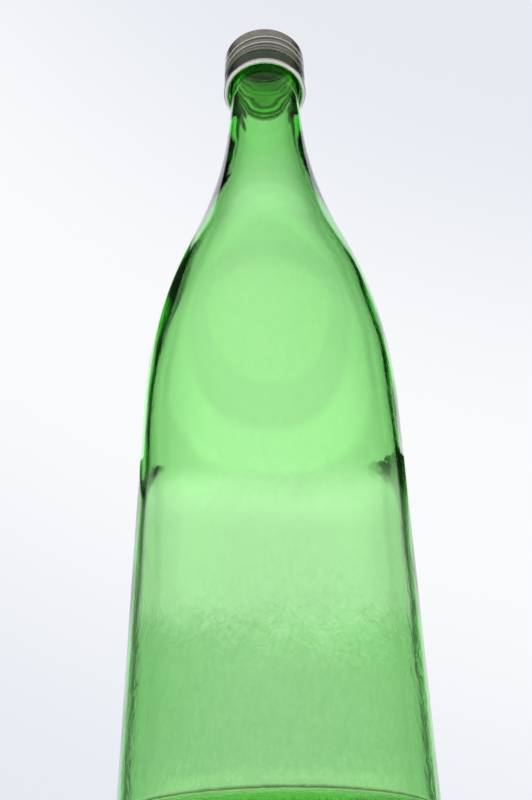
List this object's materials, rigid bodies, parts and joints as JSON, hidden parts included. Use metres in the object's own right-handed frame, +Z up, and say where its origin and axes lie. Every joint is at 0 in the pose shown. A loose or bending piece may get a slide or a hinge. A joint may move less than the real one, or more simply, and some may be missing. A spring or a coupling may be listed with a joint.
{
  "type": "glass bottle with screw cap",
  "caption": "Slender green glass bottle with a long sloping shoulder and a short aluminium screw cap that unscrews from its tamper band.",
  "frame": {"origin": "centre of the ring that the bottle stands on", "axes": "+Z up along the bottle's axis, towards the mouth; the glass thread is right-handed about +Z"},
  "size_m": [0.07, 0.07, 0.2725],
  "materials": {
    "green_glass": "polished",
    "cap_aluminium": "satin",
    "band_aluminium": "satin",
    "liner_foam": "matte",
    "liner_film": "gloss"
  },
  "bodies": {
    "bottle": {"glass_bottle": "green_glass"},
    "liner": {"liner_film": "liner_film", "liner_foam": "liner_foam"},
    "cap": {"cap_shell": "cap_aluminium"},
    "band": {"tamper_band": "band_aluminium"}
  },
  "joints": [
    {"name": "cap_lift", "type": "slide", "parent": "bottle", "child": "liner", "axis": [0, 0, 1], "range_m": [0, 0.02223]},
    {"name": "cap_turn", "type": "hinge", "parent": "liner", "child": "cap", "pos_m": [0, 0, 0.2665], "axis": [0, 0, 1], "range_deg": [0, 2520]},
    {"name": "band_turn", "type": "hinge", "parent": "bottle", "child": "band", "pos_m": [0, 0, 0.257], "axis": [0, 0, 1], "continuous": true}
  ],
  "couplings": [
    {"joint": "cap_lift", "follows": "cap_turn", "m_per_rad": 0.00050532}
  ]
}
